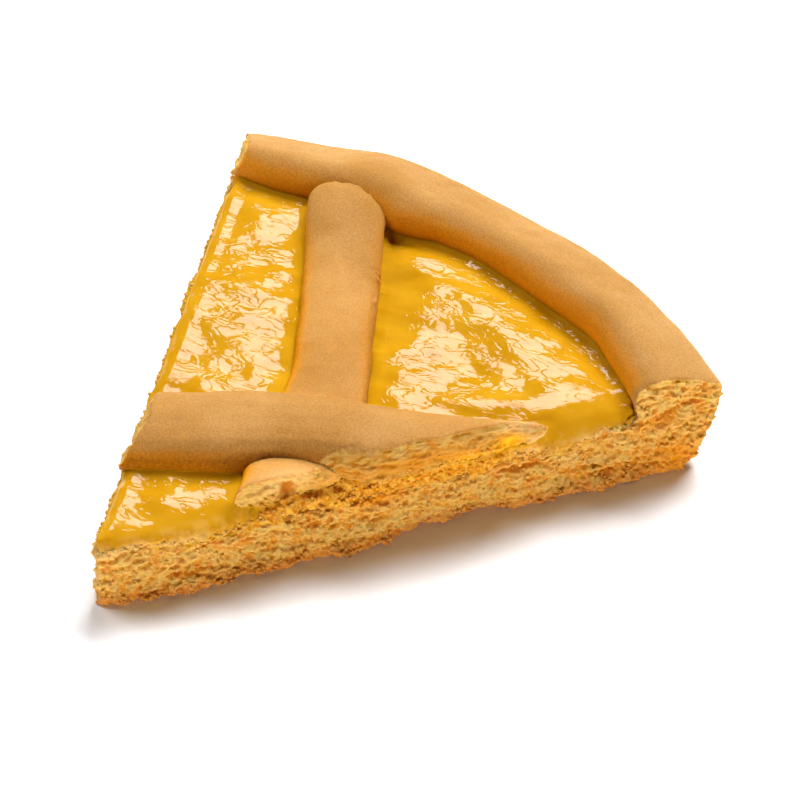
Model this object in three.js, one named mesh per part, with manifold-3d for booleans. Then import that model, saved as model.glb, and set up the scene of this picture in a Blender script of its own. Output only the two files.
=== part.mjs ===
// A one-sixth slice of a lemon lattice tart: a thick shortcrust base with a rolled rim, a layer of
// lemon custard, and two crossing strips of dough. Millimetres, +Z up.
// The shapes are worked out round the whole tart's centre, which is the slice's point, with the
// slice running along +Y. The finished slice is then moved so that the origin is the middle of its
// footprint, on the surface it stands on.
import * as THREE from "three";
import { mergeVertices } from "three/addons/utils/BufferGeometryUtils.js";
import Module from "manifold-3d";

const wasm = await Module();
wasm.setup();

// ---- Driving dimensions ----
const tartRadius = 130; // to the outer corner of the rim, so a 26 cm tart
const sliceAngle = 60; // degrees, a sixth of the tart
const baseRadius = 124; // the tin's sides lean outwards
const baseThickness = 12.6;
const rimHeight = 24.7; // to the crest of the rolled rim
const rimShoulder = 19.4; // to its outer corner
const rimInnerRadius = 111;
const custardLevel = 17.6; // where it lies flat between the strips
const gap = 0.3; // between pieces that touch
const leftCutOffset = 1.2; // the knife ran this far outside the tart's centre on the left,
const leftCutLean = 3.2; // and leaned, so that it came in by this much up to the rim's crest

const degrees = Math.PI / 180;
const halfAngle = (sliceAngle / 2) * degrees;

// ---- Small functions of numbers ----
const clamp = (x, low, high) => Math.min(high, Math.max(low, x));
const mix = (a, b, t) => a + (b - a) * t;
const smooth = (low, high, x) => {
  const t = clamp((x - low) / (high - low), 0, 1);
  return t * t * (3 - 2 * t);
};
const bump = (x, at, width) => Math.exp(-(((x - at) / width) ** 2));

// A repeatable number from 0 to 1 for each point of a lattice.
function lattice(i, j, k) {
  let h = Math.imul(i, 374761393) ^ Math.imul(j, 668265263) ^ Math.imul(k, 1442695041);
  h = Math.imul(h ^ (h >>> 13), 1274126177);
  return ((h ^ (h >>> 16)) >>> 0) / 4294967296;
}

// Smooth noise from -1 to 1 with lumps about one unit apart.
function lumps(x, y, z) {
  const [i, j, k] = [x, y, z].map(Math.floor);
  const [u, v, w] = [x - i, y - j, z - k].map((t) => t * t * (3 - 2 * t));
  const row = (b, c) => mix(lattice(i, j + b, k + c), lattice(i + 1, j + b, k + c), u);
  const sheet = (c) => mix(row(0, c), row(1, c), v);
  return 2 * mix(sheet(0), sheet(1), w) - 1;
}

// ---- From three.js geometries to closed solids, and back ----
function toSolid(geometry) {
  const bare = geometry.clone();
  bare.deleteAttribute("normal");
  bare.deleteAttribute("uv");
  const merged = mergeVertices(bare, 1e-4);
  const corners = merged.index.array;
  const kept = [];
  for (let i = 0; i < corners.length; i += 3) {
    const [a, b, c] = corners.slice(i, i + 3);
    if (a !== b && b !== c && c !== a) kept.push(a, b, c); // a pole's triangles have no area
  }
  return new wasm.Manifold(
    new wasm.Mesh({
      numProp: 3,
      vertProperties: new Float32Array(merged.attributes.position.array),
      triVerts: new Uint32Array(kept),
    }),
  );
}

function toMesh(name, solid, look) {
  const { vertProperties, triVerts } = solid.getMesh();
  const geometry = new THREE.BufferGeometry();
  geometry.setAttribute("position", new THREE.BufferAttribute(new Float32Array(vertProperties), 3));
  geometry.setIndex(new THREE.BufferAttribute(new Uint32Array(triVerts), 1));
  geometry.computeVertexNormals();
  const mesh = new THREE.Mesh(geometry, new THREE.MeshStandardMaterial(look));
  mesh.name = name;
  return mesh;
}

// Moves every vertex of a geometry to where place(x, y, z) puts it.
function reshape(geometry, place) {
  const at = geometry.attributes.position;
  for (let i = 0; i < at.count; i++) {
    at.setXYZ(i, ...place(at.getX(i), at.getY(i), at.getZ(i)));
  }
  return geometry;
}

// ---- The crust: base and rolled rim, as one profile turned round the tart's centre ----
// Where the rolled rim was pressed in or stands out, along the arc. Degrees from the slice's middle.
const rimBumps = [
  { at: -32, width: 6, inner: 4.5, outer: 0, lift: -1.8 },
  { at: -22, width: 5, inner: 0, outer: -0.6, lift: -0.7 },
  { at: -14, width: 4.5, inner: 0, outer: 0.6, lift: 0.9 },
  { at: -9, width: 2.8, inner: -2.4, outer: 0, lift: 0 },
  { at: 0, width: 6.5, inner: 0.6, outer: -0.9, lift: -0.9 },
  { at: 18, width: 6, inner: 1.8, outer: 0, lift: 0.2 },
];

function crustProfile(clearance) {
  const wall = new THREE.SplineCurve([
    new THREE.Vector2(baseRadius - 2, 0),
    new THREE.Vector2(baseRadius + 1.2, 1.6),
    new THREE.Vector2(baseRadius + 3.4, 6.5),
    new THREE.Vector2(tartRadius - 0.4, 13),
    new THREE.Vector2(tartRadius + 0.6, rimShoulder - 1),
  ]).getPoints(8);
  const roll = new THREE.SplineCurve([
    new THREE.Vector2(tartRadius, rimShoulder + 0.6),
    new THREE.Vector2(tartRadius - 5, rimHeight - 2.4),
    new THREE.Vector2(tartRadius - 11.5, rimHeight - 0.1),
    new THREE.Vector2(rimInnerRadius + 4, rimHeight - 0.2),
    new THREE.Vector2(rimInnerRadius + 0.9, rimHeight - 2.4),
    new THREE.Vector2(rimInnerRadius + 0.4, custardLevel + 1.6),
    new THREE.Vector2(rimInnerRadius + 1.6, custardLevel - 1),
  ]).getPoints(15);
  const bed = new THREE.SplineCurve([
    new THREE.Vector2(rimInnerRadius - 0.5, baseThickness + 2.2),
    new THREE.Vector2(rimInnerRadius - 6, baseThickness + 2.5),
    new THREE.Vector2(rimInnerRadius - 14, baseThickness + 0.2),
    new THREE.Vector2(rimInnerRadius - 40, baseThickness - 0.1),
    new THREE.Vector2(24, baseThickness - 0.3),
    new THREE.Vector2(9, baseThickness + 0.9),
    new THREE.Vector2(3, baseThickness + 2.4),
  ]).getPoints(12);
  const outline = [...wall, ...roll, ...bed];
  const pushed = outline.map((p, i) => {
    const before = outline[Math.max(0, i - 1)];
    const after = outline[Math.min(outline.length - 1, i + 1)];
    const along = after.clone().sub(before).normalize();
    return new THREE.Vector2(p.x + along.y * clearance, p.y - along.x * clearance);
  });
  const centreHeight = pushed.at(-1).y + 0.2;
  return [new THREE.Vector2(0, -clearance), ...pushed, new THREE.Vector2(0, centreHeight)];
}

function roundCrust(clearance = 0) {
  const turned = new THREE.LatheGeometry(crustProfile(clearance), 150);
  turned.rotateX(Math.PI / 2);
  return reshape(turned, (x, y, z) => {
    const radius = Math.hypot(x, y);
    const angle = Math.atan2(x, y) / degrees;
    const outwards = clamp((radius - rimInnerRadius) / (tartRadius - rimInnerRadius), 0, 1);
    const onRoll = smooth(rimInnerRadius - 14, rimInnerRadius - 1, radius);
    const high = smooth(baseThickness + 1, rimHeight, z);
    let move = 0;
    let lift = 0;
    for (const b of rimBumps) {
      const here = bump(angle, b.at, b.width);
      move += here * mix(b.inner, b.outer, outwards);
      lift += here * b.lift;
    }
    move += 0.35 * lumps(x / 7, y / 7, z / 5);
    const grown = radius > 1 ? (radius + move * onRoll * smooth(0, 8, z)) / radius : 1;
    return [x * grown, y * grown, z + lift * high * onRoll];
  });
}

// ---- The knife's cut: a tall wedge whose two long sides carry the broken crumb ----
const wedgeStations = 64;
const wedgeRows = 11;
const wedgeStart = 1.8; // the very point broke off
const wedgeReach = 134; // the crumb's relief runs this far, past the rim

// Where the foot of the front cut stands proud of it, or was chipped away: distances from the point.
const footBreaks = [
  { at: 20, width: 8, out: 2.0 },
  { at: 38, width: 6, out: 1.8 },
  { at: 52, width: 6, out: 1.8 },
  { at: 66, width: 4, out: -0.6 },
  { at: 79, width: 6, out: -1.7 },
  { at: 90, width: 5, out: 0.8 },
  { at: 105, width: 7, out: 2.2 },
  { at: 121, width: 8, out: 2.4 },
];

// How far the broken crumb stands out from the cut plane, at a distance along it and a height.
function cragDepth(along, height, side) {
  const coarse = 0.75 * lumps(along / 5, height / 4, 11 + side);
  const fine = 0.55 * lumps(along / 2.1, height / 2.2, 23 + side);
  const chips = smooth(0.1, 0.7, lumps(along / 7.5, 0.5, 31 + side));
  let foot = -1.1 * chips;
  if (side > 0) {
    for (const b of footBreaks) foot += b.out * bump(along, b.at, b.width);
  }
  return (coarse + fine) * smooth(0, 12, along) + foot * smooth(5, 0.8, height) - 0.4;
}

function cutWedge(frontInset = 0) {
  const block = new THREE.BoxGeometry(1, 1, 1, wedgeStations, 1, wedgeRows);
  return reshape(block, (x, y, z) => {
    const station = Math.round((x + 0.5) * wedgeStations);
    const last = station === wedgeStations;
    const share = station / (wedgeStations - 1);
    const along = last ? 168 : mix(wedgeStart, wedgeReach, share);
    const height = mix(-1.5, 28, z + 0.5);
    const side = y > 0 ? -1 : 1; // -1 is the left cut, 1 the front one
    const lean = leftCutLean * smooth(15.5, 22.5, height) * smooth(10, 30, along);
    const offset = side < 0 ? leftCutOffset - lean : -frontInset;
    const out = offset + cragDepth(along, height, side);
    const sideways = along * Math.sin(halfAngle) + out * Math.cos(halfAngle);
    const forwards = along * Math.cos(halfAngle) - out * Math.sin(halfAngle);
    return [side * Math.max(sideways, 0.5), forwards, height];
  });
}

// ---- The strips of dough ----
// Stations along each strip: where its middle runs, half its width, its top and its underside.
// The strip that lies under the other is pressed down where they cross.
const lowerStations = [
  { x: -34.2, y: 111.8, half: 7.9, top: 25.2, under: 18.2 },
  { x: -28, y: 103.7, half: 8.4, top: 24.6, under: 17.4 },
  { x: -19.6, y: 93.6, half: 8.3, top: 23.2, under: 15.4 },
  { x: -6.5, y: 76.5, half: 8.0, top: 22.6, under: 15.0 },
  { x: 2.5, y: 64.5, half: 8.2, top: 21.2, under: 15.0 },
  { x: 9.2, y: 52.5, half: 9.2, top: 19.4, under: 15.0 },
  { x: 14, y: 42, half: 9.2, top: 20.4, under: 15.0 },
  { x: 18.4, y: 33, half: 8.6, top: 22.8, under: 14.8 },
  { x: 22.6, y: 23, half: 8.4, top: 22.8, under: 14.8 },
];
const upperStations = [
  { x: -35, y: 12.1, half: 9.6, top: 23.4, under: 15.0 },
  { x: -15.4, y: 27.3, half: 10.0, top: 23.6, under: 15.0 },
  { x: -0.8, y: 39.3, half: 10.5, top: 24.2, under: 15.2 },
  { x: 12, y: 48.6, half: 9.5, top: 24.9, under: 15.6 },
  { x: 25.8, y: 56.8, half: 9.2, top: 24.4, under: 15.2 },
  { x: 38.2, y: 65.2, half: 8.6, top: 24.0, under: 15.2 },
  { x: 59.6, y: 80.4, half: 7.8, top: 23.6, under: 15.2 },
];
const endLength = 9; // of a strip's rounded end

// A capsule bent along the stations: fuller than a half circle above, flatter below.
function doughStrip(stations, clearance = 0) {
  const path = new THREE.CatmullRomCurve3(stations.map((s) => new THREE.Vector3(s.x, s.y, 0)));
  const middle = new THREE.CatmullRomCurve3(
    stations.map((s) => new THREE.Vector3(s.half, s.top, s.under)),
  );
  const length = path.getLength();
  const straight = length / endLength - 2;
  const capsule = new THREE.CapsuleGeometry(1, straight, 4, 20, 22);
  return reshape(capsule, (x, y, z) => {
    const share = clamp(y / (straight + 2) + 0.5, 0, 1);
    const at = path.getPoint(share);
    const way = path.getTangent(share);
    const { x: half, y: top, z: under } = middle.getPoint(share);
    const round = Math.hypot(x, z);
    const [across, up] = round > 1e-6 ? [x / round, z / round] : [0, 0];
    const full = (n, power) => Math.sign(n) * Math.abs(n) ** power * round;
    const waist = mix(under, top, 0.42);
    const sideways = full(across, 0.86) * (half + clearance);
    const rise = up > 0 ? full(up, 0.9) * (top - waist + clearance)
      : full(up, 0.6) * (waist - under + clearance);
    const pressed = 0.22 * lumps(at.x / 6, at.y / 6, 5 + 2 * across);
    const over = (y / (straight + 2)) * clearance * 2;
    return [
      at.x + way.y * sideways + way.x * over,
      at.y - way.x * sideways + way.y * over,
      waist + rise + pressed * round,
    ];
  });
}

// ---- The lemon custard: a rippled top that dips at the dough and rounds off at the cuts ----
const custardSwells = [
  { x: -31, y: 70, width: 15, rise: 1.0 },
  { x: -40, y: 92, width: 9, rise: 0.4 },
  { x: -4, y: 103, width: 9, rise: 0.9 },
  { x: 12, y: 100, width: 9, rise: 1.2 },
  { x: 28, y: 96, width: 9, rise: 1.2 },
  { x: 43, y: 93, width: 8, rise: 0.9 },
  { x: 9, y: 75, width: 6, rise: 0.6 },
  { x: -1, y: 20, width: 9, rise: 0.3 },
];

// How far a point is from the middle line of a strip, less half the strip's width.
function besideStrip(stations, x, y) {
  let nearest = Infinity;
  for (let i = 1; i < stations.length; i++) {
    const [a, b] = [stations[i - 1], stations[i]];
    const [dx, dy] = [b.x - a.x, b.y - a.y];
    const t = clamp(((x - a.x) * dx + (y - a.y) * dy) / (dx * dx + dy * dy), 0, 1);
    const away = Math.hypot(x - a.x - t * dx, y - a.y - t * dy) - mix(a.half, b.half, t);
    nearest = Math.min(nearest, away);
  }
  return nearest;
}

function custardTop(x, y) {
  const radius = Math.hypot(x, y);
  const fromFront = y * Math.sin(halfAngle) - x * Math.cos(halfAngle);
  const fromLeft = y * Math.sin(halfAngle) + x * Math.cos(halfAngle) + leftCutOffset;
  const atCut = Math.min(fromFront, fromLeft);
  const atDough = Math.min(
    besideStrip(lowerStations, x, y),
    besideStrip(upperStations, x, y),
    rimInnerRadius + 1 - radius,
  );
  let height = custardLevel + 0.25 * lumps(x / 9, y / 6, 3);
  for (const s of custardSwells) {
    height += s.rise * bump(Math.hypot(x - s.x, y - s.y), 0, s.width);
  }
  height -= 1.0 * smooth(4.5, 0, atDough);
  const shoulder = clamp(1 - (atCut + 0.5) / 6.5, 0, 1);
  return height - 3.1 * shoulder ** 2.2;
}

function custardBlock() {
  const block = new THREE.BoxGeometry(1, 1, 1, 18, 26, 1);
  return reshape(block, (x, y, z) => {
    const spread = Math.sign(x) * (1 - (1 - 2 * Math.abs(x)) ** 1.5);
    const radius = mix(-2, rimInnerRadius + 4, y + 0.5);
    const angle = spread * (halfAngle + 0.02);
    const reach = radius + 3;
    const [px, py] = [reach * Math.sin(angle) * 1.03, reach * Math.cos(angle) - 2.5];
    return [px, py, z > 0 ? custardTop(px, py) : 6];
  });
}

// ---- Assembly ----
const wedge = toSolid(cutWedge());
const shortWedge = toSolid(cutWedge(1.6)); // the lower strip broke off short of the cut
const crustWithGap = toSolid(roundCrust(gap));
const lowerWithGap = toSolid(doughStrip(lowerStations, gap));
const upperWithGap = toSolid(doughStrip(upperStations, gap));

const crust = toSolid(roundCrust()).intersect(wedge);
const lowerStrip = toSolid(doughStrip(lowerStations)).intersect(shortWedge).subtract(crustWithGap);
const upperStrip = toSolid(doughStrip(upperStations)).intersect(wedge).subtract(lowerWithGap);
const custard = toSolid(custardBlock())
  .intersect(wedge)
  .subtract(crustWithGap)
  .subtract(lowerWithGap)
  .subtract(upperWithGap);

const bakedDough = { color: 0xe3ac66, roughness: 0.75, metalness: 0 };
const slice = new THREE.Group();
slice.add(
  toMesh("pastry_crust", crust, bakedDough),
  toMesh("lemon_custard", custard, { color: 0xefab14, roughness: 0.15, metalness: 0 }),
  toMesh("lattice_strip_lower", lowerStrip, bakedDough),
  toMesh("lattice_strip_upper", upperStrip, bakedDough),
);

const footprint = new THREE.Box3().setFromObject(slice);
const centre = footprint.getCenter(new THREE.Vector3());
slice.position.set(-centre.x, -centre.y, -footprint.min.z);

const lemonTart = new THREE.Group();
lemonTart.add(slice);

export default lemonTart;
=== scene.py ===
import math

import bpy
import numpy as np
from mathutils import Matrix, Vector
from mathutils.bvhtree import BVHTree


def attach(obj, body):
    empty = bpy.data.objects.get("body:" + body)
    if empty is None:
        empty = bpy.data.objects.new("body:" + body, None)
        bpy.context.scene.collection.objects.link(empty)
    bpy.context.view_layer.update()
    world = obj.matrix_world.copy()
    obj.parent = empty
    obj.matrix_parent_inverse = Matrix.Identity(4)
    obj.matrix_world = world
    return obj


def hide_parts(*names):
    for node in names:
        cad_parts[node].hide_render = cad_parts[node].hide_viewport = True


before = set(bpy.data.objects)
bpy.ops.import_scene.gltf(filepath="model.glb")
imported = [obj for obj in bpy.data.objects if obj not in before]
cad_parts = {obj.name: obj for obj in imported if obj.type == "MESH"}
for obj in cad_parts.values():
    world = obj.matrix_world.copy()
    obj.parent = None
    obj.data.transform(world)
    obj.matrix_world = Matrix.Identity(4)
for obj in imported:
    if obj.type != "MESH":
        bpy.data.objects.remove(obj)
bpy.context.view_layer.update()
mm = 0.001

# the slice as it was cut: its point, and the two knife cuts that leave it
slicePoint = np.array((0.4, -65.5, 0.0)) * mm
halfAngle = math.radians(30)
leftCutOffset = 1.2 * mm
alongFront = np.array((math.sin(halfAngle), math.cos(halfAngle), 0))
frontOut = np.array((math.cos(halfAngle), -math.sin(halfAngle), 0))
leftOut = np.array((-math.cos(halfAngle), -math.sin(halfAngle), 0))
acrossStrip = np.array((0.82, 0.57, 0))  # to the right, over the lower strip
litSideOfStrip = np.array((0.63, 0.78, 0))  # the side of the lower strip that faces the light; painted light: it gets less of the painted shade near the custard
rimInnerRadius = 111 * mm
rimMiddleRadius = 121 * mm
custardLevel = 17.6  # mm above the floor

# camera, light and floor
cameraView = {
    "azimuth": 40.81,  # degrees round from the +Y view
    "elevation": 42.38,
    "distance": 600 * mm,
    "target": (12.05 * mm, 10.08 * mm, 10 * mm),
    "lens": 132.97,  # on a 36 mm sensor
}


def directionOf(azimuth, elevation):
    a, e = math.radians(azimuth), math.radians(elevation)
    return Vector((math.sin(a) * math.cos(e), -math.cos(a) * math.cos(e), math.sin(e)))


def addCamera(view):
    bpy.ops.object.camera_add()
    camera = bpy.context.object
    towards = directionOf(view["azimuth"], view["elevation"])
    camera.location = Vector(view["target"]) + towards * view["distance"]
    camera.rotation_euler = (-towards).to_track_quat("-Z", "Y").to_euler()
    camera.data.lens = view["lens"]
    camera.data.clip_start, camera.data.clip_end = 0.01, 50
    bpy.context.scene.camera = camera


addCamera(cameraView)

# each light: where it stands as seen from the slice, in degrees and metres, its size in metres, its
# radiance against white, and whether it lights matt or glossy surfaces
lights = {
    "backLight": {"azimuth": 194, "elevation": 49, "away": 2.0, "size": (1.2, 1.2), "radiance": 17.0,
                  "shows": "matt"},
    "window": {"azimuth": 208, "elevation": 50, "away": 1.0, "size": (0.48, 0.48), "radiance": 7.9,
               "shows": "glossy", "tint": "#F6F0F4"},
    "leftFill": {"azimuth": 288, "elevation": 48, "away": 1.6, "size": (0.8, 0.8), "radiance": 7.2,
                 "shows": "matt"},
    "frontFill": {"azimuth": 50, "elevation": 3.6, "away": 1.6, "size": (2.2, 0.17), "radiance": 21.5,
                  "shows": "matt", "tint": "#FFF1E2"},
}


def linear(hexColour):
    parts = [int(hexColour[i:i + 2], 16) / 255 for i in (1, 3, 5)]
    return [c / 12.92 if c < 0.04045 else ((c + 0.055) / 1.055) ** 2.4 for c in parts] + [1]


def addLight(name, light):
    bpy.ops.object.light_add(type="AREA")
    lamp = bpy.context.object
    lamp.name = name
    towards = directionOf(light["azimuth"], light["elevation"])
    lamp.location = towards * light["away"]
    lamp.rotation_euler = towards.to_track_quat("Z", "Y").to_euler()
    lamp.data.shape = "RECTANGLE"
    lamp.data.size, lamp.data.size_y = light["size"]
    lamp.data.energy = light["radiance"] * math.pi * light["size"][0] * light["size"][1]
    lamp.data.color = linear(light.get("tint", "#FFFFFF"))[:3]
    lamp.visible_glossy = light["shows"] == "glossy"
    lamp.visible_diffuse = light["shows"] == "matt"


for lightName, light in lights.items():
    addLight(lightName, light)


# adds a node with its settings, its colour stops and its links, and gives back what it sends on
def addNode(tree, kind, inputs=(), output=None, stops=(), **settings):
    node = tree.nodes.new(kind)
    for key, value in settings.items():
        setattr(node, key, value)
    for i, (position, colour) in enumerate(stops):
        stop = node.color_ramp.elements[i] if i < 2 else node.color_ramp.elements.new(position)
        stop.position, stop.color = position, linear(colour)
    for key, value in dict(inputs).items():
        named = [socket for socket in node.inputs if socket.enabled and socket.name == key]
        socket = named[0] if named else node.inputs[key]
        if isinstance(value, bpy.types.NodeSocket):
            tree.links.new(value, socket)
        else:
            socket.default_value = value
    return node.outputs[output] if output else next((s for s in node.outputs if s.enabled), None)


def newMaterial(name):
    material = bpy.data.materials.new(name)
    material.use_nodes = True
    material.node_tree.nodes.clear()
    return material, material.node_tree


stage = {
    "floorSize": 8,  # metres
    "floor": "#FCFCFE",
    "glow": 0.03,  # what little light comes from all round
    "mattGlow": "#FFEFDD",
    "glossyGlow": "#FFF6EC",
}


def makeWorld():
    world = bpy.data.worlds.new("studio")
    bpy.context.scene.world = world
    world.use_nodes = True
    tree = world.node_tree
    tree.nodes.clear()
    matt, glossy, white = (
        addNode(tree, "ShaderNodeBackground", {"Color": linear(colour), "Strength": strength})
        for colour, strength in (
            (stage["mattGlow"], stage["glow"]), (stage["glossyGlow"], stage["glow"]), ("#FFFFFF", 1.0),
        ))
    isGlossy = addNode(tree, "ShaderNodeLightPath", output="Is Glossy Ray")
    isCamera = isGlossy.node.outputs["Is Camera Ray"]
    unseen = addNode(tree, "ShaderNodeMixShader", {0: isGlossy, 1: matt, 2: glossy})
    seen = addNode(tree, "ShaderNodeMixShader", {0: isCamera, 1: unseen, 2: white})
    addNode(tree, "ShaderNodeOutputWorld", {"Surface": seen})


# a matt white paper sweep, which the eye sees as pure white round the shadow
def makeFloor():
    bpy.ops.mesh.primitive_plane_add(size=stage["floorSize"], location=(0, 0, 0))
    floor = bpy.context.object
    floor.name = "floor"
    material, tree = newMaterial("matteWhiteSweep")
    shader = addNode(tree, "ShaderNodeBsdfDiffuse", {"Color": linear(stage["floor"])})
    addNode(tree, "ShaderNodeOutputMaterial", {"Surface": shader})
    floor.data.materials.append(material)


makeWorld()
makeFloor()
bpy.context.scene.view_settings.view_transform = "Standard"
print("camera, lights and floor are made")


# modelling steps that the pieces share
def pick(obj):
    bpy.ops.object.select_all(action="DESELECT")
    obj.select_set(True)
    bpy.context.view_layer.objects.active = obj


def workingCopy(node, name):
    obj = bpy.data.objects.new(name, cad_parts[node].data.copy())
    bpy.context.collection.objects.link(obj)
    obj.data.materials.clear()
    pick(obj)
    bpy.ops.object.mode_set(mode="EDIT")
    bpy.ops.mesh.select_all(action="SELECT")
    bpy.ops.mesh.remove_doubles(threshold=0.001 * mm)
    bpy.ops.object.mode_set(mode="OBJECT")
    return obj


def finishWith(obj, kind, **settings):
    pick(obj)
    modifier = obj.modifiers.new(kind.lower(), kind)
    for key, value in settings.items():
        setattr(modifier, key, value)
    bpy.ops.object.modifier_apply(modifier=modifier.name)


def remesh(obj, voxel, smoothing=6):
    finishWith(obj, "REMESH", mode="VOXEL", voxel_size=voxel * mm, use_smooth_shade=True)
    finishWith(obj, "SMOOTH", factor=0.5, iterations=smoothing)


def vertexPlaces(obj):
    flat = np.empty(len(obj.data.vertices) * 3, dtype=np.float32)
    obj.data.vertices.foreach_get("co", flat)
    return flat.reshape(-1, 3).astype(float)


def vertexNormals(obj):
    flat = np.empty(len(obj.data.vertices) * 3, dtype=np.float32)
    obj.data.vertex_normals.foreach_get("vector", flat)
    return flat.reshape(-1, 3).astype(float)


def moveVertices(obj, places):
    obj.data.vertices.foreach_set("co", places.astype(np.float32).ravel())
    obj.data.update()


# 0 at low and 1 at high, with soft ends
def ramp(low, high, x):
    t = np.clip((x - low) / (high - low), 0, 1)
    return t * t * (3 - 2 * t)


# 1 along a stretch that starts between the first two ends and stops between the last two
def within(ends, x):
    return ramp(ends[0], ends[1], x) * ramp(ends[3], ends[2], x)


def hill(x, at, width):
    return np.exp(-(((x - at) / width) ** 2))


# the weights go in by steps, because one call for each vertex would be slow
def addGroup(obj, name, weights, stepCount=20):
    group = obj.vertex_groups.new(name=name)
    steps = np.round(np.clip(weights, 0, 1) * stepCount).astype(int)
    for step in range(1, stepCount + 1):
        members = np.nonzero(steps == step)[0].tolist()
        if members:
            group.add(members, step / stepCount, "REPLACE")


def addAttribute(obj, name, values):
    layer = obj.data.attributes.get(name) or obj.data.attributes.new(name, "FLOAT", "POINT")
    layer.data.foreach_set("value", np.asarray(values, dtype=np.float32))


# pushes a surface out by a texture whose grain and depth are in mm
def relief(obj, kind, grain, depth, group="", turn=0, direction="NORMAL", middle=0.5, **settings):
    texture = bpy.data.textures.new(kind.lower(), kind)
    texture.noise_scale = 1
    for key, value in settings.items():
        setattr(texture, key, value)
    bpy.ops.object.empty_add()
    grid = bpy.context.object
    grid.scale = [g * mm for g in grain]
    grid.rotation_euler = (0, 0, math.radians(turn))
    bpy.context.view_layer.update()
    finishWith(
        obj, "DISPLACE", texture=texture, texture_coords="OBJECT", texture_coords_object=grid,
        strength=depth * mm, vertex_group=group, direction=direction, mid_level=middle,
    )
    bpy.data.objects.remove(grid)


# thins the mesh where nothing shows, between the pieces and underneath
def thinHidden(obj, hidden, keep):
    addGroup(obj, "hidden", hidden)
    finishWith(obj, "DECIMATE", ratio=keep, vertex_group="hidden", vertex_group_factor=1000)
    obj.vertex_groups.remove(obj.vertex_groups["hidden"])


# divides the faces whose corners all have a high share
def refine(obj, share, cuts):
    pick(obj)
    bpy.ops.object.mode_set(mode="EDIT")
    bpy.ops.mesh.select_mode(type="VERT")
    bpy.ops.mesh.select_all(action="DESELECT")
    bpy.ops.object.mode_set(mode="OBJECT")
    obj.data.vertices.foreach_set("select", share > 0.5)
    bpy.ops.object.mode_set(mode="EDIT")
    bpy.ops.mesh.select_mode(type="FACE")
    bpy.ops.mesh.subdivide(number_cuts=cuts)
    bpy.ops.mesh.select_mode(type="VERT")
    bpy.ops.object.mode_set(mode="OBJECT")


# how deep a point lies behind the front and the left cut
def cutDistances(places):
    rel = places - slicePoint
    return -(rel @ frontOut), -(rel @ leftOut) + leftCutOffset


# how far it is along the front cut from the slice's point, in mm
def alongCut(places):
    return (places - slicePoint) @ alongFront / mm


# 1 where the knife or a break has bared the crumb, at the front and at the left cut, 0 on baked skin.
# It counts to so many mm behind the cut where it faces out of it, or faces down but not on the floor.
def crumbShares(obj, facing=(0.30, 0.62), reach=4.5):
    places, normals = vertexPlaces(obj), vertexNormals(obj)
    fromFront, fromLeft = cutDistances(places)
    atFront = ramp(*facing, normals @ frontOut) * (fromFront < reach * mm)
    atLeft = ramp(*facing, normals @ leftOut) * (fromLeft < reach * mm)
    under = ramp(0.2, 0.6, -normals[:, 2]) * (places[:, 2] > 0.15 * mm)
    under = under * (np.minimum(fromFront, fromLeft) < reach * mm)
    return np.clip(atFront + under * (fromFront < reach * mm), 0, 1), np.clip(atLeft + under, 0, 1)


# the nearest point of some pieces to each place
def nearestOn(places, *pieces):
    bpy.context.view_layer.update()
    graph = bpy.context.evaluated_depsgraph_get()
    trees = [BVHTree.FromObject(piece, graph) for piece in pieces]
    hits = [min((tree.find_nearest(p) for tree in trees), key=lambda hit: hit[3]) for p in places]
    return np.array([hit[0] for hit in hits])


# how far each place is from some pieces, in mm
def distanceTo(places, *pieces):
    return np.linalg.norm(nearestOn(places, *pieces) - places, axis=1) / mm


# draws a piece up to its neighbours where they were baked together, so that no gap shows
def closeSeam(obj, reach, *pieces):
    places = vertexPlaces(obj)
    nearest = nearestOn(places, *pieces)
    gap = np.linalg.norm(nearest - places, axis=1) / mm
    places += (nearest - places) * np.exp(-(gap / reach) ** 2)[:, None]
    moveVertices(obj, places)


def finishPiece(obj, material):
    obj.data.materials.append(material)
    pick(obj)
    bpy.ops.object.shade_smooth()
    print(obj.name, "has", len(obj.data.polygons), "faces")


def dress(obj, slot, *nodes):
    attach(obj, "root")
    if nodes:
        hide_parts(*nodes)


# Baked shortcrust: flour and butter, rolled smooth and baked to a satin skin. The eye gets a warm
# biscuit tan with faint sandy grain, orange-brown low on the flanks near the custard, which is partly
# custard cooked against it and partly painted shade and painted yellow light from the custard, tops
# painted paler and flanks darker as painted light and shade, and a golden crumb where it is cut, painted
# paler where it stands out and darker in its pits.
pastryLook = {
    "pale": "#B3864B",
    "tan": "#A67637",
    # the orange of the flanks near the custard: custard cooked against them, with painted shade and
    # painted yellow light thrown back from the custard
    "custardStainAndShade": "#D2860E",
    # the crumb: pale where it stands out and darker in its pits, as painted light and painted shade
    "crumbPale": "#CBA85A",
    "crumbTan": "#CA9D46",
    "crumbPit": "#C88422",
    "crumbBlush": "#CB8030",
    "foot": "#C0792E",
    "soaked": "#D78C04",
    "yolk": "#F0B010",  # custard that the knife dragged down the cut
    "cream": "#D6B87C",  # a thin smear of it
    "grain": 0.45,  # mm between grains, coarser than real flour so that it shows
    "grainShade": (0.82, 1.09),  # the darkest and the palest grains against the skin
    "grainHeight": 0.16,  # mm
    "cloud": 14,  # mm between the skin's paler and darker places
    "granule": 0.75,  # mm, of the crumb
    "blotch": 1.8,  # mm between the crumb's redder places
    "blush": 0.35,  # how much redder they are
    "roughness": 0.62,
    "glow": (1.0, 0.5, 0.2),  # how far red, green and blue light spreads inside it
    "glowDepth": 1.2,  # mm
}

# A loose crumb is the same, but painted paler and oranger: painted light standing in for the light that
# comes through it from all sides.
looseLook = pastryLook | {
    "crumbPale": "#D8AE58",
    "crumbTan": "#D6A34A",
    "crumbPit": "#D29438",
    "glowDepth": 0.25,
}


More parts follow.
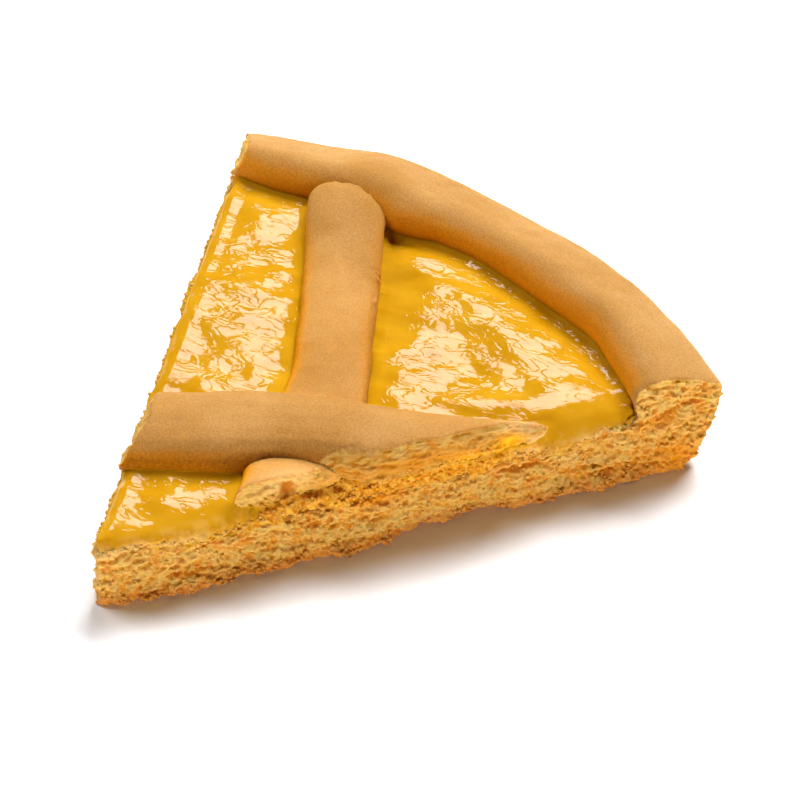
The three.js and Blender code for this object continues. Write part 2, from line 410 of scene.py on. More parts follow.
def pastryMaterial(name, look):
    material, tree = newMaterial(name)
    place = addNode(tree, "ShaderNodeTexCoord", output="Object")
    here = {part: addNode(tree, "ShaderNodeAttribute", output="Fac", attribute_name=part) for part in (
        "crumb", "raised", "tone", "custardStainAndShade", "foot", "soaked", "yolk", "cream",
    )}
    grain, cloud, granule, blotch = (
        addNode(tree, "ShaderNodeTexNoise", {
            "Vector": place, "Scale": 1 / (look[pattern] * mm), "Detail": detail, "Roughness": rough,
        })
        for pattern, detail, rough in (
            ("grain", 3, 0.6), ("cloud", 4, 0.5), ("granule", 4, 0.65), ("blotch", 3, 0.5),
        ))

    # baked skin
    skin = addNode(tree, "ShaderNodeValToRGB", {"Fac": cloud}, stops=[
        (0.3, look["tan"]), (0.7, look["pale"]),
    ])
    speckle = addNode(tree, "ShaderNodeMapRange", {
        "Value": grain, "From Min": 0.35, "From Max": 0.65,
        "To Min": look["grainShade"][0], "To Max": look["grainShade"][1],
    })
    # the grain's speckle plus the tone, which on the strips is painted light on the tops and painted
    # shade on the flanks
    shade = addNode(tree, "ShaderNodeMath", {0: speckle, 1: here["tone"]}, operation="ADD")
    # the orange near the custard is a stain with painted shade and painted yellow light from the custard
    for share, over, kind in (
        (here["custardStainAndShade"], linear(look["custardStainAndShade"]), "MIX"),
        (1.0, shade, "MULTIPLY"),
    ):
        skin = addNode(tree, "ShaderNodeMix", {"Factor": share, "A": skin, "B": over},
                       data_type="RGBA", blend_type=kind)

    # crumb, painted paler the more it stands out and darker in its pits: painted light and painted shade
    halves = [addNode(tree, "ShaderNodeMath", {0: value, 1: 0.5}, operation="MULTIPLY")
              for value in (granule, here["raised"])]
    lightness = addNode(tree, "ShaderNodeMath", {0: halves[0], 1: halves[1]}, operation="ADD")
    crumb = addNode(tree, "ShaderNodeValToRGB", {"Fac": lightness}, stops=[
        (0.24, look["crumbPit"]), (0.66, look["crumbPale"]), (0.42, look["crumbTan"]),
    ])
    blush = addNode(tree, "ShaderNodeMapRange", {
        "Value": blotch, "From Min": 0.50, "From Max": 0.64, "To Max": look["blush"],
    })
    shade = addNode(tree, "ShaderNodeMath", {0: here["tone"], 1: 1.0}, operation="ADD")
    for share, over, kind in (
        (blush, linear(look["crumbBlush"]), "MIX"),
        (here["foot"], linear(look["foot"]), "MIX"),
        (here["soaked"], linear(look["soaked"]), "MIX"),
        (1.0, shade, "MULTIPLY"),
    ):
        crumb = addNode(tree, "ShaderNodeMix", {"Factor": share, "A": crumb, "B": over},
                        data_type="RGBA", blend_type=kind)

    # a ragged edge between the two, and what the knife has smeared over them
    wander = addNode(tree, "ShaderNodeMapRange", {"Value": granule, "To Min": -0.4, "To Max": 0.4})
    ragged = addNode(tree, "ShaderNodeMath", {0: here["crumb"], 1: wander}, operation="ADD")
    bared = addNode(tree, "ShaderNodeMapRange", {"Value": ragged, "From Min": 0.3, "From Max": 0.7})
    colour = skin
    for share, over in (
        (bared, crumb), (here["yolk"], linear(look["yolk"])), (here["cream"], linear(look["cream"])),
    ):
        colour = addNode(tree, "ShaderNodeMix", {"Factor": share, "A": colour, "B": over},
                         data_type="RGBA")

    bump = addNode(tree, "ShaderNodeBump", {
        "Height": grain, "Strength": 0.35, "Distance": look["grainHeight"] * mm,
    })
    shader = addNode(tree, "ShaderNodeBsdfPrincipled", {
        "Base Color": colour, "Roughness": look["roughness"], "IOR": 1.45, "Specular IOR Level": 0.2,
        "Normal": bump, "Subsurface Weight": 0.8, "Subsurface Radius": look["glow"],
        "Subsurface Scale": look["glowDepth"] * mm,
    })
    addNode(tree, "ShaderNodeOutputMaterial", {"Surface": shader})
    return material


# Lemon custard: egg yolk, sugar and juice set under a skin. The eye gets a deep clear yellow under
# a tight wet gloss that breaks the window of light into patches, and a dull wet face at the cut.
custardLook = {
    "deep": "#B8820A",
    "light": "#C28E16",
    "cutFace": "#C67C0E",
    "wetCrumb": "#DBA640",
    "film": "#D0A048",  # the skin of custard that the knife dragged over the seam
    "yolk": pastryLook["yolk"],
    "cream": pastryLook["cream"],
    "cloud": 9,  # mm between deeper and lighter places
    "speckle": 0.9,  # mm, of the wet crumb
    "filmPatch": 2.4,  # mm between holes in the film
    "gloss": 0.08,  # roughness of the wet skin
    "wrinkle": 2.3,  # mm between the wrinkles of the skin
    "wrinkleLength": 2.0,  # how many times as long as wide they are
    "wrinkleTurn": 20,  # degrees from the X axis
    "wrinkleHeight": 0.12,  # mm
    "fold": 0.075,  # how wide the folds between them are
    "foldPatch": 5,  # mm between sharply folded places
    "foldHeight": (0.12, 0.42),  # against the wrinkles, between those places and at them
    "glow": (1.0, 0.5, 0.1),  # how far red, green and blue light spreads inside it
    "glowDepth": 2.0,  # mm
}


def custardMaterial(name, look):
    material, tree = newMaterial(name)
    place = addNode(tree, "ShaderNodeTexCoord", output="Object")
    here = {part: addNode(tree, "ShaderNodeAttribute", output="Fac", attribute_name=part) for part in (
        "crumb", "film", "dull", "yolk", "cream",
    )}
    cloud, speckle, filmPatch, foldPatch = (
        addNode(tree, "ShaderNodeTexNoise", {
            "Vector": place, "Scale": 1 / (look[pattern] * mm), "Detail": detail,
        })
        for pattern, detail in (("cloud", 3), ("speckle", 4), ("filmPatch", 4), ("foldPatch", 2)))
    colour = addNode(tree, "ShaderNodeValToRGB", {"Fac": cloud}, stops=[
        (0.35, look["deep"]), (0.68, look["light"]),
    ])
    wetCrumb = addNode(tree, "ShaderNodeValToRGB", {"Fac": speckle}, stops=[
        (0.40, look["cutFace"]), (0.58, look["wetCrumb"]),
    ])
    patches = addNode(tree, "ShaderNodeMapRange", {
        "Value": filmPatch, "From Min": 0.42, "From Max": 0.60,
    })
    film = addNode(tree, "ShaderNodeMath", {0: patches, 1: here["film"]}, operation="MULTIPLY")
    for share, over in (
        (here["crumb"], wetCrumb), (film, linear(look["film"])),
        (here["yolk"], linear(look["yolk"])), (here["cream"], linear(look["cream"])),
    ):
        colour = addNode(tree, "ShaderNodeMix", {"Factor": share, "A": colour, "B": over},
                         data_type="RGBA")

    # wrinkles, with a thin fold wherever their noise crosses its middle
    along = addNode(tree, "ShaderNodeMapping", {
        "Vector": place, "Rotation": (0, 0, math.radians(look["wrinkleTurn"])),
        "Scale": (look["wrinkleLength"], 1.0, 1.0),
    }, vector_type="TEXTURE")
    wrinkle = addNode(tree, "ShaderNodeTexNoise", {
        "Vector": along, "Scale": 1 / (look["wrinkle"] * mm), "Detail": 1, "Roughness": 0.4,
        "Distortion": 0.8,
    })
    offMiddle = addNode(tree, "ShaderNodeMath", {0: wrinkle, 1: 0.5}, operation="SUBTRACT")
    aside = addNode(tree, "ShaderNodeMath", {0: offMiddle}, operation="ABSOLUTE")
    outOfFold = addNode(tree, "ShaderNodeMapRange", {"Value": aside, "From Max": look["fold"]})
    sharpness = addNode(tree, "ShaderNodeMapRange", {
        "Value": foldPatch, "From Min": 0.38, "From Max": 0.55,
        "To Min": look["foldHeight"][0], "To Max": look["foldHeight"][1],
    })
    fold = addNode(tree, "ShaderNodeMath", {0: outOfFold, 1: sharpness}, operation="MULTIPLY")
    rounded = addNode(tree, "ShaderNodeMath", {0: wrinkle, 1: 0.6}, operation="MULTIPLY")
    height = addNode(tree, "ShaderNodeMath", {0: rounded, 1: fold}, operation="ADD")
    bump = addNode(tree, "ShaderNodeBump", {
        "Height": height, "Strength": 1.0, "Distance": look["wrinkleHeight"] * mm,
    })
    wetSkin = addNode(tree, "ShaderNodeMapRange", {"Value": here["dull"], "To Min": 1, "To Max": 0})
    shader = addNode(tree, "ShaderNodeBsdfPrincipled", {
        "Base Color": colour, "Roughness": 0.45, "IOR": 1.5, "Specular IOR Level": 0.0,
        "Subsurface Weight": 0.25, "Subsurface Radius": look["glow"],
        "Subsurface Scale": look["glowDepth"] * mm,
        "Coat Weight": wetSkin, "Coat Roughness": look["gloss"], "Coat IOR": 1.5, "Coat Normal": bump,
    })
    addNode(tree, "ShaderNodeOutputMaterial", {"Surface": shader})
    return material


bakedShortcrust = pastryMaterial("bakedShortcrust", pastryLook)
looseCrumb = pastryMaterial("looseCrumb", looseLook)
lemonCustard = custardMaterial("lemonCustard", custardLook)
print("materials are made")

# juice that has soaked into the front cut, and custard dragged over it by the knife: where along it and
# how high, how far each way, how strongly
stains = {
    "soaked": [
        {"along": 68, "height": 14.6, "length": 26, "tall": 2.3, "much": 0.85},
        {"along": 36, "height": 15.4, "length": 4, "tall": 1.6, "much": 0.8},
        {"along": 57, "height": 11.8, "length": 7, "tall": 2.2, "much": 0.8},
        {"along": 66, "height": 19.0, "length": 20, "tall": 2.6, "much": 0.75},
        {"along": 50, "height": 16.4, "length": 9, "tall": 1.8, "much": 0.7},
        {"along": 121, "height": 4.0, "length": 6, "tall": 4.5, "much": 0.8},
        {"along": 113, "height": 14.0, "length": 3, "tall": 2.0, "much": 0.5},
    ],
    "yolk": [
        {"along": 84.5, "height": 17.4, "length": 3.6, "tall": 2.4, "much": 1.0},
        {"along": 76, "height": 16.8, "length": 6, "tall": 1.4, "much": 0.6},
    ],
    "cream": [
        {"along": 87, "height": 21.6, "length": 4.4, "tall": 1.3, "much": 0.7},
        {"along": 39, "height": 20.5, "length": 5, "tall": 3.0, "much": 0.45},
        {"along": 90, "height": 17.4, "length": 1.8, "tall": 1.4, "much": 0.8},
        {"along": 89, "height": 14.4, "length": 3.6, "tall": 0.8, "much": 0.7},
        {"along": 5, "height": 14.6, "length": 4.5, "tall": 1.3, "much": 0.7},
        {"along": 17, "height": 13.6, "length": 7, "tall": 0.8, "much": 0.5},
        {"along": 103, "height": 15.0, "length": 8, "tall": 0.6, "much": 0.5},
    ],
}


def stainShare(kind, places):
    along, height = alongCut(places), places[:, 2] / mm
    atFront = ramp(4.5 * mm, 2 * mm, cutDistances(places)[0])
    share = np.zeros(len(places))
    for p in stains[kind]:
        share = np.maximum(share, p["much"] * hill(along, p["along"], p["length"])
                           * hill(height, p["height"], p["tall"]))
    return share * atFront


# the foot has baked browner against the tin
def footShare(places):
    return 0.7 * ramp(4.0, 1.0, places[:, 2] / mm)


# cracks and pits in the front cut: where along it and how high, how far each way and how deep, in mm
crumbHollows = [
    {"along": 39.6, "height": 18.2, "length": 1.3, "tall": 1.9, "deep": 2.2},
    {"along": 48.2, "height": 7.2, "length": 0.7, "tall": 0.5, "deep": 1.6},
    {"along": 87.6, "height": 10.2, "length": 3.2, "tall": 0.6, "deep": 1.5},
    {"along": 19.0, "height": 4.6, "length": 4.5, "tall": 0.45, "deep": 1.3},
    {"along": 31.0, "height": 9.2, "length": 3.0, "tall": 0.4, "deep": 0.9},
    {"along": 44.5, "height": 9.0, "length": 2.0, "tall": 0.9, "deep": 1.3},
    {"along": 57.0, "height": 6.2, "length": 3.4, "tall": 0.5, "deep": 1.0},
    {"along": 99.0, "height": 6.4, "length": 3.6, "tall": 0.7, "deep": 1.2},
    {"along": 106.5, "height": 3.6, "length": 4.0, "tall": 0.8, "deep": 1.3},
    {"along": 118.8, "height": 14.6, "length": 2.4, "tall": 1.5, "deep": 1.5},
    {"along": 123.5, "height": 17.0, "length": 3.0, "tall": 0.6, "deep": 0.9},
]


def sinkHollows(obj, share):
    places = vertexPlaces(obj)
    along, height = alongCut(places), places[:, 2] / mm
    atFront = share * (cutDistances(places)[0] < 4 * mm)
    for h in crumbHollows:
        sunk = h["deep"] * hill(along, h["along"], h["length"]) * hill(height, h["height"], h["tall"])
        places -= np.outer(sunk * atFront * mm, frontOut)
    moveVertices(obj, places)


def standOnFloor(obj):
    places = vertexPlaces(obj)
    places[:, 2] = np.maximum(places[:, 2], 0)
    moveVertices(obj, places)


# the crumb's relief in mm: rounded clumps with sharp creases between them, granules, pits, streaks that
# the knife drew, and grit
crumbLayers = {
    "clumps": {"kind": "CLOUDS", "grain": (4.2, 4.2, 2.6), "depth": 1.8, "middle": 0.3,
               "noise_depth": 1, "noise_type": "HARD_NOISE"},
    "granules": {"kind": "CLOUDS", "grain": (1.7, 1.7, 1.3), "depth": 0.75, "middle": 0.3,
                 "noise_depth": 1, "noise_type": "HARD_NOISE"},
    "pits": {"kind": "VORONOI", "grain": (0.9, 0.9, 0.8), "depth": -0.65, "middle": 0.35},
    "streaks": {"kind": "CLOUDS", "grain": (7, 1.1, 0.9), "depth": 1.0, "turn": 60,
                "noise_depth": 1, "noise_type": "HARD_NOISE"},
    "grit": {"kind": "CLOUDS", "grain": (0.4, 0.4, 0.4), "depth": 0.25, "noise_depth": 1},
}


def crumbRelief(obj, coarse, streaked=0):
    for name, layer in crumbLayers.items():
        much = streaked if name == "streaks" else coarse
        if much:
            settings = layer | {"depth": layer["depth"] * much}
            relief(obj, group="broken", **settings)


# 0 at the front cut, which shows the dough's inside, and 1 a few mm behind it
def awayFromCut(places):
    return ramp(1.0, 4.5, cutDistances(places)[0] / mm)


# how much paler or darker the skin is painted, by place and by how far up it faces: paler tops and
# darker flanks are painted light and painted shade
def crustTone(places, up):
    return np.zeros(len(places))


# the lower strip: tops painted paler, most towards the front, and flanks darker, as painted light and
# painted shade
def lowerTone(places, up):
    top = 0.01 + 0.26 * ramp(30, 14, places[:, 1] / mm)  # painted light, paler on the tops towards the front
    return top * ramp(0.5, 0.9, up) - 0.05 * ramp(0.9, 0.5, up)


# the upper strip: paler towards its tail, and its flanks away from the cut painted darker, as painted
# shade
def upperTone(places, up):
    tail = 0.08 * ramp(50, 75, alongCut(places))
    sides = 0.2 * ramp(1.0, 0.85, up) + 0.25 * ramp(0.85, 0.4, up)
    return 0.05 + tail - sides * awayFromCut(places)


# 1 where the crust's mesh doesn't show, underneath and under the custard
def crustHidden(obj):
    places = vertexPlaces(obj)
    radius = np.hypot(*(places - slicePoint)[:, :2].T)
    inside = np.minimum(*cutDistances(places)) > 5 * mm
    under = places[:, 2] < 0.6 * mm
    bed = (radius < rimInnerRadius - 3 * mm) & (places[:, 2] > 9 * mm)
    return (inside & (under | bed)).astype(float)


# voxel: the remesh in mm. cuts: how often the front and the left cut are divided. coarse, streaked: how
# strong the crumb's relief is. facing: how squarely out of a cut a face looks where crumb starts, and
# where it is all crumb. tone, cutTone: how much paler or darker the skin and the crumb are; on the
# strips' skin the tone is painted light on the tops and painted shade on the flanks.
# stainAndShadeHeight: how many mm above the custard the skin is stained and painted with shade and with
# yellow light from the custard.
# hidden: what of it doesn't show. worn: where flakes have come off and how wide, in mm.
pastryShapes = {
    "crust": {
        "node": "pastry_crust", "slot": "baked_crust", "voxel": 0.7, "cuts": (2, 1),
        "coarse": 1.0, "streaked": 0, "facing": (0.30, 0.62), "tone": crustTone, "cutTone": 0.0,
        "stainAndShadeHeight": 11, "hidden": crustHidden, "worn": None,
    },
    "stripLower": {
        "node": "lattice_strip_lower", "slot": "baked_strip", "voxel": 0.5, "cuts": (1, 1),
        "coarse": 0.7, "streaked": 0, "facing": (0.2, 0.75), "tone": lowerTone, "cutTone": 0.0,
        "stainAndShadeHeight": 6, "hidden": None,
        "worn": {"at": [(-8.5, 28.0, 20.0), (-3.0, 22.5, 20.5), (1.0, 18.5, 19.5)], "width": 2.2},
    },
    "stripUpper": {
        "node": "lattice_strip_upper", "slot": "baked_strip", "voxel": 0.5, "cuts": (1, 1),
        "coarse": 0.5, "streaked": 0.6, "facing": (0.1, 0.9), "tone": upperTone, "cutTone": -0.17,
        "stainAndShadeHeight": 6.5, "hidden": None, "worn": None,
    },
}

# the dough's own relief in mm: slow swells all over, small ones on the skin, and flakes where it is worn
doughLayers = {
    "swells": {"kind": "CLOUDS", "grain": (9, 9, 9), "depth": 0.4, "noise_depth": 1},
    "ripples": {"kind": "CLOUDS", "grain": (3, 3, 3), "depth": 0.18, "group": "skin", "noise_depth": 2},
    "flakes": {"kind": "CLOUDS", "grain": (1.3, 1.3, 1.3), "depth": 1.2, "group": "worn", "middle": 0.2,
               "noise_depth": 0, "noise_type": "HARD_NOISE"},
}


def colourAttributes(obj, share, raised, shape):
    places, normals = vertexPlaces(obj), vertexNormals(obj)
    up = normals[:, 2]
    insideRim = np.hypot(*(places - slicePoint)[:, :2].T) < rimMiddleRadius
    # low on the flanks near the custard: a custard stain with painted shade and painted yellow light
    # from the custard, less on the side that faces the light
    flank = ramp(0.99, 0.68, up) * (1 - 0.6 * ramp(0.1, 0.6, normals @ litSideOfStrip))
    low = ramp(custardLevel + shape["stainAndShadeHeight"], custardLevel + 2, places[:, 2] / mm)
    addAttribute(obj, "crumb", share)
    addAttribute(obj, "raised", raised)
    for kind in stains:
        addAttribute(obj, kind, stainShare(kind, places))
    addAttribute(obj, "foot", footShare(places))
    addAttribute(obj, "custardStainAndShade", flank * low * insideRim * awayFromCut(places))
    addAttribute(obj, "tone", shape["tone"](places, up) * (1 - share) + shape["cutTone"] * share)


def makePastry(name, shape):
    obj = workingCopy(shape["node"], name)
    remesh(obj, shape["voxel"])
    if shape["hidden"]:
        thinHidden(obj, shape["hidden"](obj), 0.5)
    refine(obj, crumbShares(obj)[0], shape["cuts"][0])
    atFront, atLeft = crumbShares(obj)
    refine(obj, atLeft * (atFront < 0.5), shape["cuts"][1])
    share = np.maximum(*crumbShares(obj, shape["facing"]))
    addGroup(obj, "broken", share)
    addGroup(obj, "skin", 1 - share)
    relief(obj, **doughLayers["swells"])
    relief(obj, **doughLayers["ripples"])
    worn = shape["worn"]
    if worn:
        away = [np.linalg.norm(vertexPlaces(obj) / mm - at, axis=1) for at in worn["at"]]
        addGroup(obj, "worn", sum(hill(a, 0, worn["width"]) for a in away))
        relief(obj, **doughLayers["flakes"])
    smooth, normals = vertexPlaces(obj), vertexNormals(obj)
    crumbRelief(obj, shape["coarse"], shape["streaked"])
    sinkHollows(obj, share)
    standOnFloor(obj)
    # how far the relief pushed each point out; it paints the crumb paler where it stands out and darker
    # in its pits, as painted light and painted shade
    pushed = ((vertexPlaces(obj) - smooth) * normals).sum(axis=1) / mm
    low, high = np.percentile(pushed[share > 0.9], (3, 92))
    colourAttributes(obj, share, ramp(low, high, pushed), shape)
    finishPiece(obj, bakedShortcrust)
    dress(obj, shape["slot"], shape["node"])
    return obj


crust, stripLower, stripUpper = (makePastry(name, shape) for name, shape in pastryShapes.items())
closeSeam(stripLower, 1.3, stripUpper, crust)
closeSeam(stripUpper, 1.0, stripLower, crust)

custardShape = {
    "voxel": 0.4,  # mm
    "smoothing": 16,
    "climb": 1.6,  # mm up the dough that it touches
    "climbReach": 1.3,  # mm out from the dough
    "bulge": 0.45,  # mm, of the rounded edge there
    "lip": {"rise": 0.9, "from": 3.0, "width": 2.2},  # mm, behind the left cut
    "rightPart": (38, 44),  # mm across, where the part right of the lower strip starts
    "wrinkleTurns": {"leftTop": 12, "rightTop": 14},  # degrees
    "underStrips": (26, 34, 90, 96),  # mm along the front cut, where it is all crumb
    "underStub": (32, 36, 58, 64),  # where that reaches back under the broken stub
    # what the knife dragged over the seam: below what height, then all of it, and how far, in mm
    "dragged": {"below": (16.2, 13.2), "out": 0.35, "down": 1.0},
    "seam": 1.3,  # mm off the dough, to which it is drawn
    "coarse": 0.9,  # how strong the relief of its wet crumb is
    # the set custard's slow swells: middle, half widths along and across, turn, and rise, in mm
    "swells": [
        {"at": (22, 33), "wide": (26, 7), "turn": -8, "rise": 0.5},
        {"at": (46, 25), "wide": (12, 12), "turn": 0, "rise": 0.8},
        {"at": (-8.6, 26.4), "wide": (17, 6.6), "turn": -55, "rise": -1.1},
        {"at": (34, 15), "wide": (13, 4.2), "turn": 30, "rise": 0.8},
        {"at": (-31.3, 17), "wide": (2.6, 1.6), "turn": 41, "rise": -0.35},
        {"at": (2.2, -52.7), "wide": (3.4, 2.6), "turn": 41, "rise": -0.55},
    ],
}

# the wrinkles that stand up from its top, large and small, in mm
wrinkleLayers = [
    {"kind": "CLOUDS", "grain": (7, 4, 7), "depth": 0.45, "noise_depth": 0, "direction": "Z"},
    {"kind": "CLOUDS", "grain": (3.2, 1.6, 3), "depth": 0.10, "noise_depth": 1, "direction": "Z"},
]


def swell(obj, weights):
    places = vertexPlaces(obj)
    for s in custardShape["swells"]:
        turn = math.radians(s["turn"])
        x, y = places[:, 0] / mm - s["at"][0], places[:, 1] / mm - s["at"][1]
        along = x * math.cos(turn) + y * math.sin(turn)
        across = y * math.cos(turn) - x * math.sin(turn)
        places[:, 2] += (s["rise"] * mm * weights * hill(along, 0, s["wide"][0])
                         * hill(across, 0, s["wide"][1]))
    moveVertices(obj, places)


def makeCustard(name, shape):
    obj = workingCopy("lemon_custard", name)
    remesh(obj, shape["voxel"], shape["smoothing"])
    places, normals = vertexPlaces(obj), vertexNormals(obj)
    hidden = (normals[:, 2] < -0.3) & (np.minimum(*cutDistances(places)) > 4 * mm)
    thinHidden(obj, hidden.astype(float), 0.55)

    # the top swells, climbs the dough that it touches and has a lip at the left cut
    places, normals = vertexPlaces(obj), vertexNormals(obj)
    fromFront, fromLeft = (distance / mm for distance in cutDistances(places))
    nearCut = np.minimum(fromFront, fromLeft)
    upward = ramp(0.6, 0.9, normals[:, 2])
    swell(obj, upward * ramp(0.5, 3.0, nearCut))
    places = vertexPlaces(obj)
    rightPart = ramp(*shape["rightPart"], (places - slicePoint) @ acrossStrip / mm)
    top = np.nonzero(upward > 0.05)[0]
    atStrip, climbs = np.zeros(len(places)), np.zeros(len(places))
    atStrip[top] = np.exp(-distanceTo(places[top], stripLower) / shape["climbReach"])
    climbs[top] = np.exp(-distanceTo(places[top], crust, stripUpper) / shape["climbReach"])
    climbs = np.maximum(climbs, atStrip * (1 - rightPart))
    places[:, 2] += shape["climb"] * mm * climbs * upward
    places += normals * (shape["bulge"] * mm * climbs)[:, None]
    lip = shape["lip"]
    places[:, 2] += lip["rise"] * mm * upward * hill(fromLeft, lip["from"], lip["width"])
    moveVertices(obj, places)
    wrinkled = upward * ramp(1.5, 5.0, nearCut)
    addGroup(obj, "leftTop", wrinkled * (1 - rightPart))
    addGroup(obj, "rightTop", wrinkled * rightPart)
    for group, turn in shape["wrinkleTurns"].items():
        for layer in wrinkleLayers:
            relief(obj, group=group, turn=turn, **layer)

    # the front cut is drawn down over the seam by the knife, and is wet crumb under the strips
    places = vertexPlaces(obj)
    along = alongCut(places)
    underStrips = within(shape["underStrips"], along)
    soaked = np.maximum(
        ramp(2.2, 1.2, fromFront) * ramp(0.75, 0.55, normals[:, 2]),
        within(shape["underStub"], along) * ramp(5.5, 4.0, fromFront))
    places += np.outer(soaked * (0.25 + 0.35 * hill(along, 100, 12)) * mm, frontOut)
    drag = shape["dragged"]
    dragged = soaked * ramp(*drag["below"], places[:, 2] / mm) * (1 - underStrips)
    places += np.outer(dragged * drag["out"] * mm, frontOut)
    places[:, 2] -= dragged * drag["down"] * mm
    moveVertices(obj, places)
    for _ in range(2):
        closeSeam(obj, shape["seam"], crust, stripLower, stripUpper)
    addGroup(obj, "broken", soaked)
    crumbRelief(obj, shape["coarse"])

    addAttribute(obj, "crumb", soaked * (0.35 + 0.65 * underStrips))
    seamDull = np.maximum(0.9 * ramp(0.10, 0.45, climbs), ramp(0.06, 0.13, atStrip) * rightPart)
    addAttribute(obj, "dull", np.maximum(ramp(3.0, 1.4, nearCut), seamDull))
    for kind in ("yolk", "cream"):
        addAttribute(obj, kind, stainShare(kind, vertexPlaces(obj)) * soaked)
    film = ramp(2.6, 1.0, fromFront) * (1 - underStrips) * ramp(17.4, 15.6, places[:, 2] / mm)
    addAttribute(obj, "film", 0.6 * film)
    finishPiece(obj, lemonCustard)
    dress(obj, "custard", "lemon_custard")
    return obj


custard = makeCustard("custard", custardShape)

# loose crumbs that cling to the cuts
looseCrumbs = {
    "seed": 11,
    "radius": (0.18, 0.6),  # mm, most of them small
    "corners": (0.78, 1.22),  # how far out each corner stands
    "stretched": (0.7, 1.15),
    "raised": (0.45, 0.8),  # how pale it is painted, as if it stood out so much from the crumb: painted light
    "perSquare": {"front": 0.25, "left": 0.25, "strip": 0.03, "custard": 1.0},  # on 1 square mm of cut
    # the line where custard and crust meet on the front cut: so far along it and so high, in mm
    "seam": [(3, 15.2), (9, 13.6), (24, 12.4), (71, 12.5), (97, 12.9), (105, 15.1), (108, 15.2)],
    "seamPerMm": 8.0,
    "smeared": {"until": 30, "left": 0.4},  # near the point a thin smear covers some of them
    "underStrips": {"ends": (28, 35, 82, 90), "high": 4.8},  # mm, where they spread up the cut
    "offSeam": {"up": (0.25, 0.35), "out": (0.1, 0.2)},  # mm, the mean and how much it varies
    "sunk": 0.1,  # mm into the cut
    "clodsPerSquare": 0.05,  # broken lumps, on 1 square mm of the front cut's foot
    # how many crumbs a lump has, how much that varies, and how they spread, in mm
    "clod": {"crumbs": 14, "varies": (0.4, 1.6), "along": (0.4, 1.1), "out": (-0.2, 0.5), "deep": 0.35,
             "up": (-0.3, 0.5), "lowest": 0.15},
}


# seats for crumbs: evenly random over the faces, as thick as density says for each face's middle
def crumbSeats(obj, random, density):
    obj.data.calc_loop_triangles()
    corners = np.empty(len(obj.data.loop_triangles) * 3, dtype=np.int32)
    obj.data.loop_triangles.foreach_get("vertices", corners)
    places = vertexPlaces(obj)
    a, b, c = (places[corners.reshape(-1, 3)[:, i]] for i in range(3))
    across = np.cross(b - a, c - a)
    area = np.linalg.norm(across, axis=1) / 2
    outwards = across / (2 * area[:, None] + 1e-20)
    count = random.poisson(area / mm ** 2 * density((a + b + c) / 3, outwards))
    picked = np.repeat(np.arange(len(area)), count)
    u, v = random.random((2, len(picked), 1))
    u, v = np.where(u + v > 1, 1 - u, u), np.where(u + v > 1, 1 - v, v)
    return a[picked] + u * (b - a)[picked] + v * (c - a)[picked]


def crustDensity(middle, outwards):
    fromFront, fromLeft = cutDistances(middle)
    front = (outwards @ frontOut > 0.25) & (fromFront < 4 * mm)
    left = (outwards @ leftOut > 0.25) & (fromLeft < 4 * mm)
    thick = looseCrumbs["perSquare"]
    return front * thick["front"] + left * thick["left"]


def stripDensity(middle, outwards):
    fromFront, fromLeft = cutDistances(middle)
    facing = np.maximum((outwards @ frontOut) * (fromFront < 3 * mm),
                        (outwards @ leftOut) * (fromLeft < 3 * mm))
    return looseCrumbs["perSquare"]["strip"] * (facing > 0.6)


def custardDensity(middle, outwards):
    fromLeft = cutDistances(middle)[1]
    edge = (outwards @ leftOut > 0.2) & (fromLeft < 1.5 * mm) & (middle[:, 2] > 15.5 * mm)
    return looseCrumbs["perSquare"]["custard"] * edge


def footDensity(middle, outwards):
    height, along = middle[:, 2] / mm, alongCut(middle)
    foot = (height > 0.3) & (height < 2.6) & (outwards @ frontOut > 0.2) & (along > 4) & (along < 118)
    return looseCrumbs["clodsPerSquare"] * foot * (cutDistances(middle)[0] < 4 * mm)


# along the seam on the front cut, and up from it under the strips
def seamSeats(random):
    corners = np.array(looseCrumbs["seam"])
    lengths = np.append(0, np.cumsum(np.linalg.norm(np.diff(corners, axis=0), axis=1)))
    count = int(looseCrumbs["seamPerMm"] * lengths[-1])
    onSeam = random.uniform(0, lengths[-1], count)
    smeared = looseCrumbs["smeared"]
    onSeam = onSeam[(onSeam > smeared["until"]) | (random.random(count) < smeared["left"])]
    count = len(onSeam)
    along, height = (np.interp(onSeam, lengths, corners[:, i]) for i in (0, 1))
    wide, off = looseCrumbs["underStrips"], looseCrumbs["offSeam"]
    spread = within(wide["ends"], along)
    height += random.normal(*off["up"], count) + spread * random.uniform(0, wide["high"], count)
    out = random.normal(*off["out"], count)
    onCut = slicePoint + mm * (np.outer(along, alongFront) + np.outer(out, frontOut))
    onCut[:, 2] = height * mm
    seats = nearestOn(onCut, crust, custard, stripLower, stripUpper)
    return seats - looseCrumbs["sunk"] * mm * frontOut


# broken lumps at the foot, each a cluster of crumbs
def clodSeats(obj, random):
    seats, clod = [], looseCrumbs["clod"]
    for middle in crumbSeats(obj, random, footDensity):
        count = int(clod["crumbs"] * random.uniform(*clod["varies"]))
        along = random.normal(0, random.uniform(*clod["along"]), count)
        out = random.normal(random.uniform(*clod["out"]), clod["deep"], count)
        up = random.normal(*clod["up"], count)
        cluster = middle + mm * (np.outer(along, alongFront) + np.outer(out, frontOut))
        cluster[:, 2] = np.abs(cluster[:, 2] + up * mm) + clod["lowest"] * mm
        seats.append(cluster)
    return np.concatenate(seats)


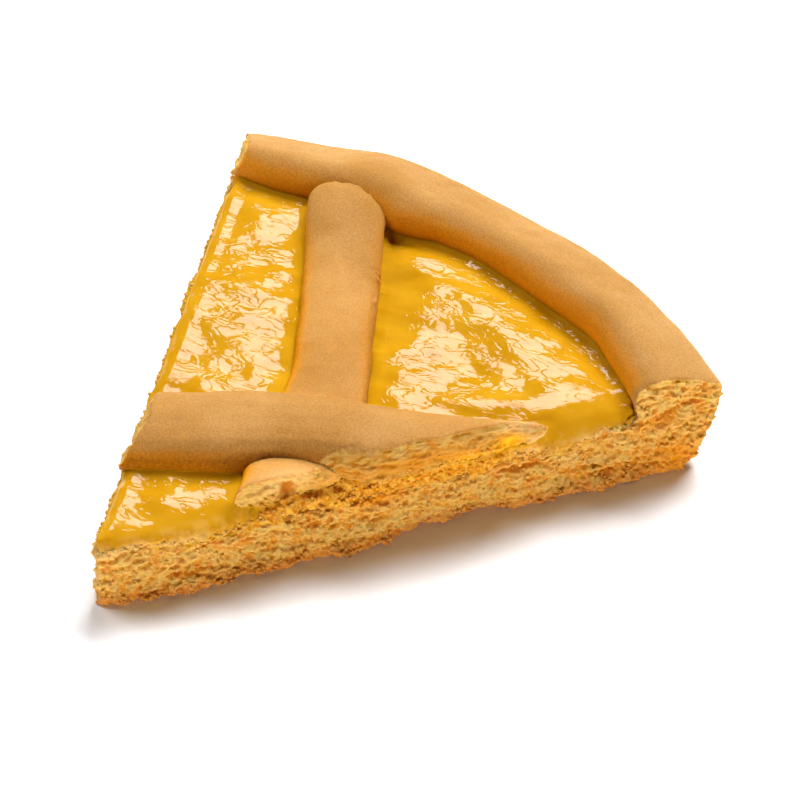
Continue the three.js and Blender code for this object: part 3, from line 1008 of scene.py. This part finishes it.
# random rotations, as matrices
def turns(random, count):
    q = random.normal(size=(count, 4))
    w, x, y, z = (q / np.linalg.norm(q, axis=1)[:, None]).T
    return np.stack([
        np.stack([1 - 2 * (y * y + z * z), 2 * (x * y - w * z), 2 * (x * z + w * y)], axis=1),
        np.stack([2 * (x * y + w * z), 1 - 2 * (x * x + z * z), 2 * (y * z - w * x)], axis=1),
        np.stack([2 * (x * z - w * y), 2 * (y * z + w * x), 1 - 2 * (x * x + y * y)], axis=1),
    ], axis=1)


# one granule is an icosahedron, and each crumb is a copy of it, dented, turned and set on its seat
def makeCrumbs(name, seats, radii, random):
    bpy.ops.mesh.primitive_ico_sphere_add(subdivisions=1, radius=1)
    granule = bpy.context.object
    corners = vertexPlaces(granule)
    faces = np.array([p.vertices[:] for p in granule.data.polygons])
    bpy.data.objects.remove(granule)
    count, each = len(seats), len(corners)
    lumpy = corners * random.uniform(*looseCrumbs["corners"], (count, each, 1))
    lumpy = lumpy * random.uniform(*looseCrumbs["stretched"], (count, 1, 3))
    places = np.einsum("nij,nkj->nki", turns(random, count), lumpy) * radii[:, None, None]
    places += seats[:, None, :]
    places[:, :, 2] = np.maximum(places[:, :, 2], 0.02 * mm)
    allFaces = (faces[None] + each * np.arange(count)[:, None, None]).reshape(-1, 3)
    mesh = bpy.data.meshes.new(name)
    mesh.from_pydata(places.reshape(-1, 3).tolist(), [], allFaces.tolist())
    obj = bpy.data.objects.new(name, mesh)
    bpy.context.collection.objects.link(obj)
    shares = {"crumb": np.ones(count), "raised": random.uniform(*looseCrumbs["raised"], count)}
    onLeftCut = cutDistances(seats)[1] < 3 * mm
    shares["tone"] = random.normal(0, 0.05, count) - 0.12 * onLeftCut
    shares |= {kind: stainShare(kind, seats) for kind in stains}
    shares |= {"foot": footShare(seats), "custardStainAndShade": np.zeros(count)}
    for part, share in shares.items():
        addAttribute(obj, part, np.repeat(share, each))
    finishPiece(obj, looseCrumb)
    dress(obj, "baked_crust")


def scatterCrumbs():
    random = np.random.default_rng(looseCrumbs["seed"])
    seats = [crumbSeats(crust, random, crustDensity)]
    seats += [crumbSeats(strip, random, stripDensity) for strip in (stripLower, stripUpper)]
    seats += [crumbSeats(custard, random, custardDensity), seamSeats(random), clodSeats(crust, random)]
    seats = np.concatenate(seats)
    small, large = looseCrumbs["radius"]
    radii = (small + (large - small) * random.random(len(seats)) ** 2) * mm
    makeCrumbs("crumbs", seats, radii, random)


scatterCrumbs()
